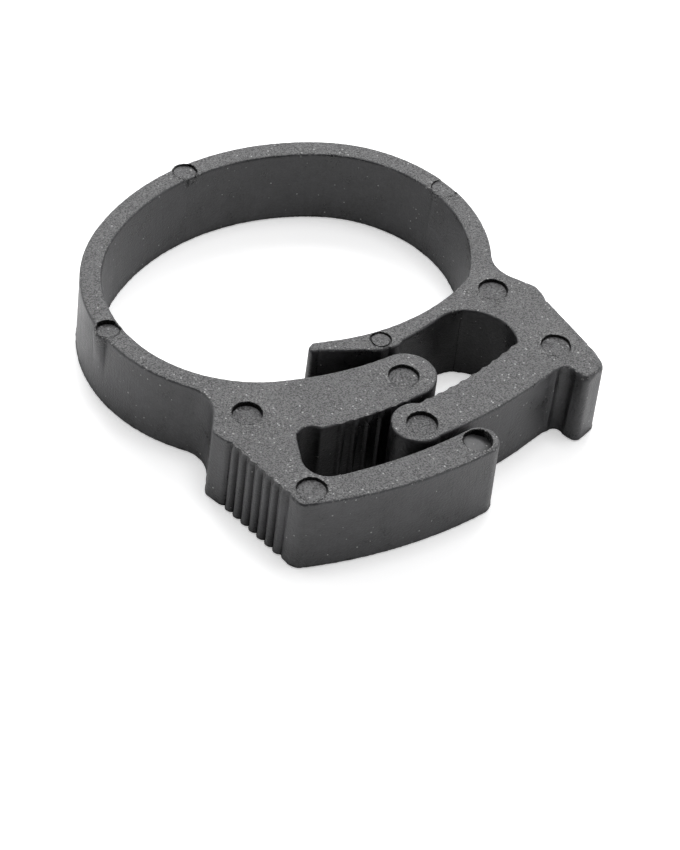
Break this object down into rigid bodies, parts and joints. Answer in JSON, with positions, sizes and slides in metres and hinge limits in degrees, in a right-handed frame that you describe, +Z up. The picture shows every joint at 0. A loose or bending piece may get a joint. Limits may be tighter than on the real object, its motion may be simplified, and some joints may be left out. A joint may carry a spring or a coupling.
{
  "type": "ratcheting hose clip",
  "caption": "Springy nylon hose clip: an open hoop whose toothed tongue and arm ratchet together when the jaws are squeezed.",
  "frame": {"origin": "centre of the hose bore, midway between the two side arcs, on the bottom face", "axes": "+Z up along the bore, mouth and jaws toward -Y, tongue jaw on -X, finger jaw on +X"},
  "size_m": [0.0277, 0.0318, 0.0054],
  "materials": {
    "nylon": "fine spark-eroded grain on the top faces, smoother moulded walls"
  },
  "bodies": {
    "hoop_back": {"band_back_left": "nylon"},
    "hoop_back_right": {"band_back_right": "nylon"},
    "left_side": {"left_side_band": "nylon"},
    "left_jaw": {"left_front_band": "nylon", "left_head": "nylon", "left_grip": "nylon", "ratchet_tongue": "nylon", "outer_arm": "nylon"},
    "right_side": {"right_side_band": "nylon"},
    "right_jaw": {"right_front_band": "nylon", "right_head": "nylon", "right_grip": "nylon", "stop_lip": "nylon"},
    "pawl": {"toothed_arm": "nylon"},
    "finger": {"inner_finger": "nylon"}
  },
  "joints": [
    {"name": "hoop_bend_left", "type": "hinge", "parent": "hoop_back", "child": "left_side", "pos_m": [-0.00851, 0.00824, 0.0027], "axis": [0, 0, 1], "range_deg": [-24, 10.5], "stiffness_Nm_per_rad": 0.02},
    {"name": "jaw_turn_left", "type": "hinge", "parent": "left_side", "child": "left_jaw", "pos_m": [-0.0131, 0.0004, 0.0027], "axis": [0, 0, 1], "range_deg": [-5.25, 12]},
    {"name": "hoop_twist", "type": "hinge", "parent": "hoop_back", "child": "hoop_back_right", "pos_m": [0.0006, 0.01073, 0.0027], "axis": [-1, 0, 0], "range_deg": [0, 13], "stiffness_Nm_per_rad": 0.02},
    {"name": "hoop_bend_right", "type": "hinge", "parent": "hoop_back_right", "child": "right_side", "pos_m": [0.00851, 0.00824, 0.0027], "axis": [0, 0, 1], "range_deg": [-10.5, 24]},
    {"name": "jaw_turn_right", "type": "hinge", "parent": "right_side", "child": "right_jaw", "pos_m": [0.0131, 0.0004, 0.0027], "axis": [0, 0, 1], "range_deg": [-12, 5.25]},
    {"name": "arm_flex", "type": "hinge", "parent": "right_jaw", "child": "pawl", "pos_m": [0.0066, -0.01538, 0.0027], "axis": [0, 0, -1], "range_deg": [0, 4.2], "stiffness_Nm_per_rad": 0.02},
    {"name": "finger_flex", "type": "hinge", "parent": "right_jaw", "child": "finger", "pos_m": [0.0052, -0.0085, 0.0027], "axis": [0, 0, -1], "range_deg": [0, 8], "stiffness_Nm_per_rad": 0.01}
  ],
  "couplings": [
    {"joint": "jaw_turn_left", "follows": "hoop_bend_left", "ratio": -0.5},
    {"joint": "hoop_bend_right", "follows": "hoop_bend_left", "ratio": -1},
    {"joint": "jaw_turn_right", "follows": "hoop_bend_left", "ratio": 0.5}
  ]
}
